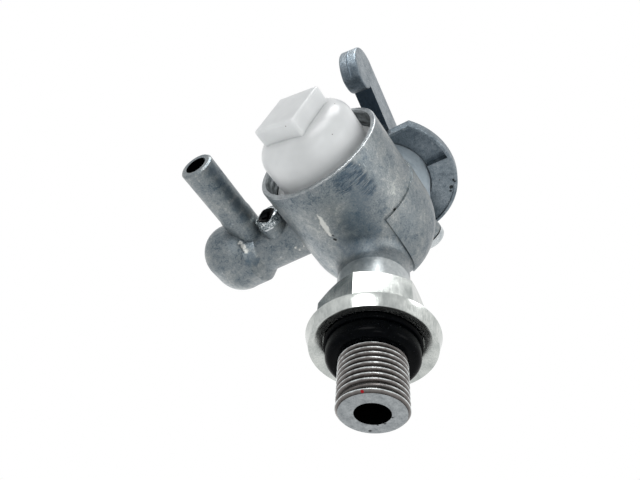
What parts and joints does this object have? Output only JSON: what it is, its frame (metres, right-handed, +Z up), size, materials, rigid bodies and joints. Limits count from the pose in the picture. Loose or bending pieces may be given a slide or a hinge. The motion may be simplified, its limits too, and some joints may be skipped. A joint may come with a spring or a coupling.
{
  "type": "fuel tap",
  "caption": "Die-cast fuel tap with a turning lever, a screwed sediment cup, an angled hose nipple and a threaded tank inlet with a locking nut.",
  "frame": {"origin": "on the inlet stub's axis, halfway along its free thread, where the tap is fixed to the tank", "axes": "+Z up as fitted, the sediment cup hangs down along -Z, +Y out of the threaded inlet, -X along the outlet arm"},
  "size_m": [0.0581, 0.0771, 0.0541],
  "materials": {
    "cast_zinc": "bare zinc die casting, satin, slightly mottled",
    "plated_steel": "bright zinc plated steel",
    "rubber": "black nitrile rubber, slightly glossy",
    "white_nylon": "natural white moulded plastic",
    "strainer_nylon": "moulded plastic",
    "gauze": "fine wire gauze"
  },
  "bodies": {
    "housing": {"body": "cast_zinc", "strainer_frame": "strainer_nylon", "strainer_gauze": "gauze", "port_seal": "rubber", "retaining_screw": "plated_steel", "retaining_washer": "plated_steel", "passage_screw": "plated_steel", "passage_washer": "plated_steel"},
    "valve": {"lever": "cast_zinc", "spindle_o_ring": "rubber"},
    "cup_carrier": {"cup_o_ring": "rubber"},
    "cup": {"sediment_cup": "white_nylon"},
    "seal_carrier": {"backing_ring": "rubber", "tank_seal": "rubber"},
    "nut": {"lock_nut": "plated_steel"}
  },
  "joints": [
    {"name": "lever_turn", "type": "hinge", "parent": "housing", "child": "valve", "pos_m": [0, -0.04105, 0.0021], "axis": [0.0837, -0.9965, 0], "range_deg": [-90, 0]},
    {"name": "cup_travel", "type": "slide", "parent": "housing", "child": "cup_carrier", "axis": [0, 0, -1], "range_m": [0, 0.01135]},
    {"name": "cup_turn", "type": "hinge", "parent": "cup_carrier", "child": "cup", "pos_m": [0, -0.04105, -0.02], "axis": [0, 0, -1], "range_deg": [0, 2700]},
    {"name": "nut_travel", "type": "slide", "parent": "housing", "child": "seal_carrier", "axis": [0, 1, 0], "range_m": [0, 0.0081]},
    {"name": "nut_turn", "type": "hinge", "parent": "seal_carrier", "child": "nut", "pos_m": [0, -0.012, 0], "axis": [0, 1, 0], "range_deg": [0, 2880]}
  ],
  "couplings": [
    {"joint": "cup_travel", "follows": "cup_turn", "m_per_rad": 0.00023873},
    {"joint": "nut_travel", "follows": "nut_turn", "m_per_rad": 0.00015915}
  ]
}
